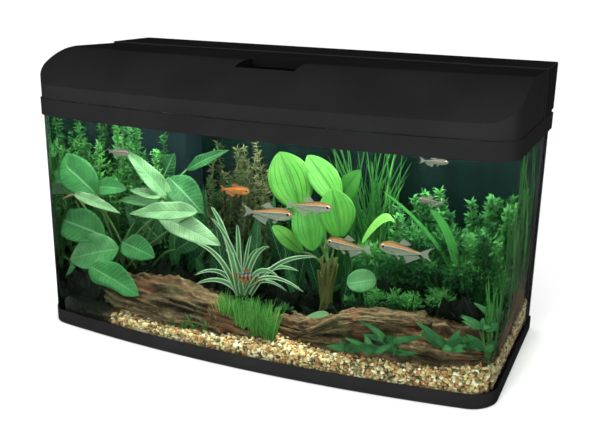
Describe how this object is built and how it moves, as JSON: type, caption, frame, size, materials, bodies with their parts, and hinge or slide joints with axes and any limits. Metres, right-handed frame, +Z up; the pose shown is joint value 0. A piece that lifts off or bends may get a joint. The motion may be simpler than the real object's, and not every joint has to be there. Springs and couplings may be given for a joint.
{
  "type": "aquarium",
  "caption": "Bow-front glass aquarium with black base and top trim, hinged hood with lamp and feeding flap, corner filter, gravel bed and driftwood.",
  "frame": {"origin": "on the ground under the middle of the bounding box", "axes": "+X along the tank's length, to the right seen from the front; +Y to the straight back, the bowed front faces -Y; +Z up"},
  "size_m": [0.8044, 0.3702, 0.4779],
  "materials": {
    "hood_plastic": "black satin moulded plastic",
    "frame_plastic": "black satin moulded plastic",
    "clear_glass": "clear float glass",
    "silicone": "black silicone",
    "foam": "grey closed-cell foam",
    "back_film": "dark blue-green film",
    "gravel": "mixed natural gravel",
    "wood": "waterlogged driftwood",
    "filter_plastic": "dark satin plastic",
    "sponge": "open-cell sponge",
    "wool": "white filter wool",
    "pump_plastic": "black plastic",
    "rotor": "ferrite magnet",
    "ceramic": "ceramic shaft",
    "heater_glass": "quartz tube",
    "steel": "stainless steel",
    "control_gear": "white enamel",
    "terminal": "cream plastic",
    "reflector": "white enamel",
    "lamp_glass": "frosted lamp tube",
    "socket_rubber": "black rubber",
    "clear_cover": "clear plastic",
    "rocker": "glossy black",
    "leaf": "wet green leaf",
    "fish": "scales",
    "water": "clear water"
  },
  "bodies": {
    "tank": {"base_tray": "frame_plastic", "foam_mat": "foam", "floor_glass": "clear_glass", "bent_glass": "clear_glass", "back_glass": "clear_glass", "floor_silicone": "silicone", "corner_silicone": "silicone", "back_film": "back_film", "top_trim": "frame_plastic", "cross_brace": "frame_plastic", "gravel_bed": "gravel", "driftwood_left": "wood", "driftwood_right": "wood", "filter_housing": "filter_plastic", "filter_silicone": "silicone", "sponge_coarse": "sponge", "sponge_fine": "sponge", "filter_wool": "wool", "pump_body": "pump_plastic", "pump_cover": "pump_plastic", "impeller_shaft": "ceramic", "pump_feet": "socket_rubber", "heater_tube": "heater_glass", "heater_cap": "pump_plastic", "rear_housing": "hood_plastic", "housing_floor": "hood_plastic", "housing_screws": "steel", "ballast": "control_gear", "terminal_block": "terminal", "cable_gland": "socket_rubber", "hinge_pins": "steel", "switch_bezel": "hood_plastic"},
    "hood_lid": {"front_cover": "hood_plastic", "lid_feet": "socket_rubber", "flap_pin": "steel", "lamp_tray": "reflector", "lamp_screws": "steel", "lamp_tubes": "lamp_glass", "lamp_sockets": "socket_rubber", "splash_cover": "clear_cover"},
    "feeding_hatch": {"feeding_flap": "hood_plastic"},
    "rocker_switch": {"light_switch": "rocker"},
    "rotor": {"impeller": "rotor"},
    "nozzle": {"outlet_nozzle": "pump_plastic"}
  },
  "joints": [
    {"name": "lid_hinge", "type": "hinge", "parent": "tank", "child": "hood_lid", "pos_m": [0, 0.075, 0.4724], "axis": [-1, 0, 0], "range_deg": [0, 85]},
    {"name": "hatch_hinge", "type": "hinge", "parent": "hood_lid", "child": "feeding_hatch", "pos_m": [0.01, -0.064, 0.4595], "axis": [-1, 0, 0], "range_deg": [0, 100]},
    {"name": "switch_rock", "type": "hinge", "parent": "tank", "child": "rocker_switch", "pos_m": [-0.39606, 0.135, 0.44], "axis": [0, -1, 0], "range_deg": [0, 16]},
    {"name": "impeller_spin", "type": "hinge", "parent": "tank", "child": "rotor", "pos_m": [-0.3, 0.143, 0.3], "axis": [0, 0, 1], "continuous": true},
    {"name": "nozzle_swivel", "type": "hinge", "parent": "tank", "child": "nozzle", "pos_m": [-0.3, 0.095, 0.341], "axis": [0, 1, 0], "range_deg": [-90, 90]}
  ]
}
